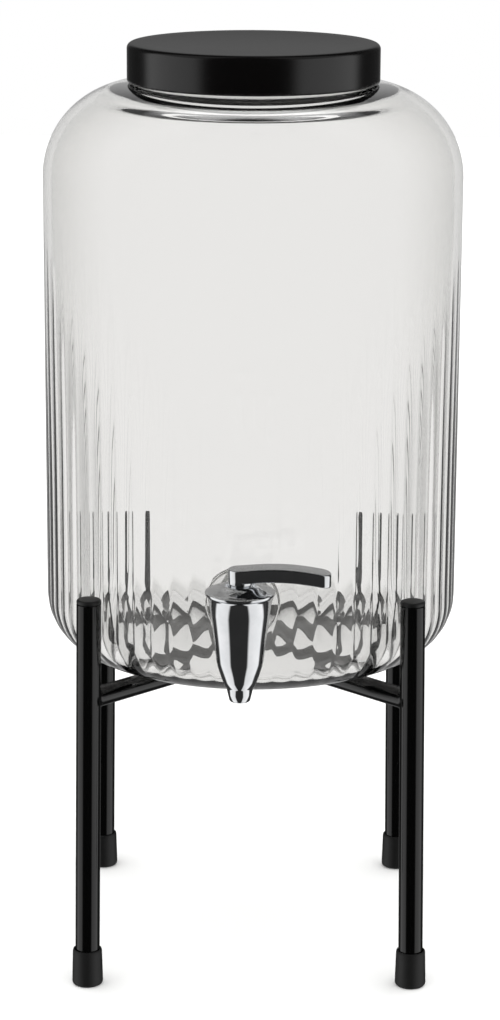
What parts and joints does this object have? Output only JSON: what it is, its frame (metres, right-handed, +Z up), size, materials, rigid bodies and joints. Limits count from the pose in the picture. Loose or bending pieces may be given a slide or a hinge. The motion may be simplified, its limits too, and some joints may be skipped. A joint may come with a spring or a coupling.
{
  "type": "glass drink dispenser on a stand",
  "caption": "Ribbed clear glass jar with a black screw lid and a chrome quarter-turn tap, standing on a black tube stand with a crossed brace.",
  "frame": {"origin": "on the floor, under the middle of the object's bounding box, so the jar's axis is 20.9 mm behind it", "axes": "+Z up, +X to the viewer's right, -Y towards the front, where the tap is"},
  "size_m": [0.205, 0.2468, 0.455],
  "materials": {
    "clear_glass": "pressed soda-lime glass, ribbed",
    "black_steel": "gloss black powder coat",
    "black_lid": "satin black coat on steel sheet",
    "black_plastic": "moulded",
    "white_plastic": "moulded",
    "black_rubber": "matte",
    "white_silicone": "smooth",
    "chrome": "polished plating",
    "stainless_steel": "turned"
  },
  "bodies": {
    "stand": {"leg_front_left": "black_steel", "leg_front_right": "black_steel", "leg_rear_left": "black_steel", "leg_rear_right": "black_steel", "cap_front_left": "black_plastic", "cap_front_right": "black_plastic", "cap_rear_left": "black_plastic", "cap_rear_right": "black_plastic", "foot_front_left": "black_rubber", "foot_front_right": "black_rubber", "foot_rear_left": "black_rubber", "foot_rear_right": "black_rubber", "brace_long": "black_steel", "brace_half_front": "black_steel", "brace_half_rear": "black_steel"},
    "jar": {"glass_jar": "clear_glass", "tap_body": "chrome", "tap_bonnet": "chrome", "tap_gasket_outer": "white_silicone", "tap_gasket_inner": "white_silicone", "tap_washer": "white_plastic", "tap_nut": "white_plastic"},
    "lid_seal": {"lid_seal": "white_silicone"},
    "lid": {"lid_shell": "black_lid", "lid_insert": "black_plastic"},
    "tap_valve": {"tap_lever": "chrome", "tap_plug": "white_plastic", "plug_o_ring_lower": "black_rubber", "plug_o_ring_upper": "black_rubber", "lever_pin": "stainless_steel"}
  },
  "joints": [
    {"name": "jar_lift", "type": "slide", "parent": "stand", "child": "jar", "axis": [0, 0, 1], "range_m": [0, 0.06]},
    {"name": "lid_rise", "type": "slide", "parent": "jar", "child": "lid_seal", "axis": [0, 0, 1], "range_m": [0, 0.025]},
    {"name": "lid_turn", "type": "hinge", "parent": "lid_seal", "child": "lid", "pos_m": [0, 0.0209, 0.4364], "axis": [0, 0, 1], "range_deg": [0, 360]},
    {"name": "tap_turn", "type": "hinge", "parent": "jar", "child": "tap_valve", "pos_m": [-0.00491, -0.10701, 0.203], "axis": [0, 0, 1], "range_deg": [-90, 0]}
  ],
  "couplings": [
    {"joint": "lid_rise", "follows": "lid_turn", "m_per_rad": 0.0038197}
  ]
}
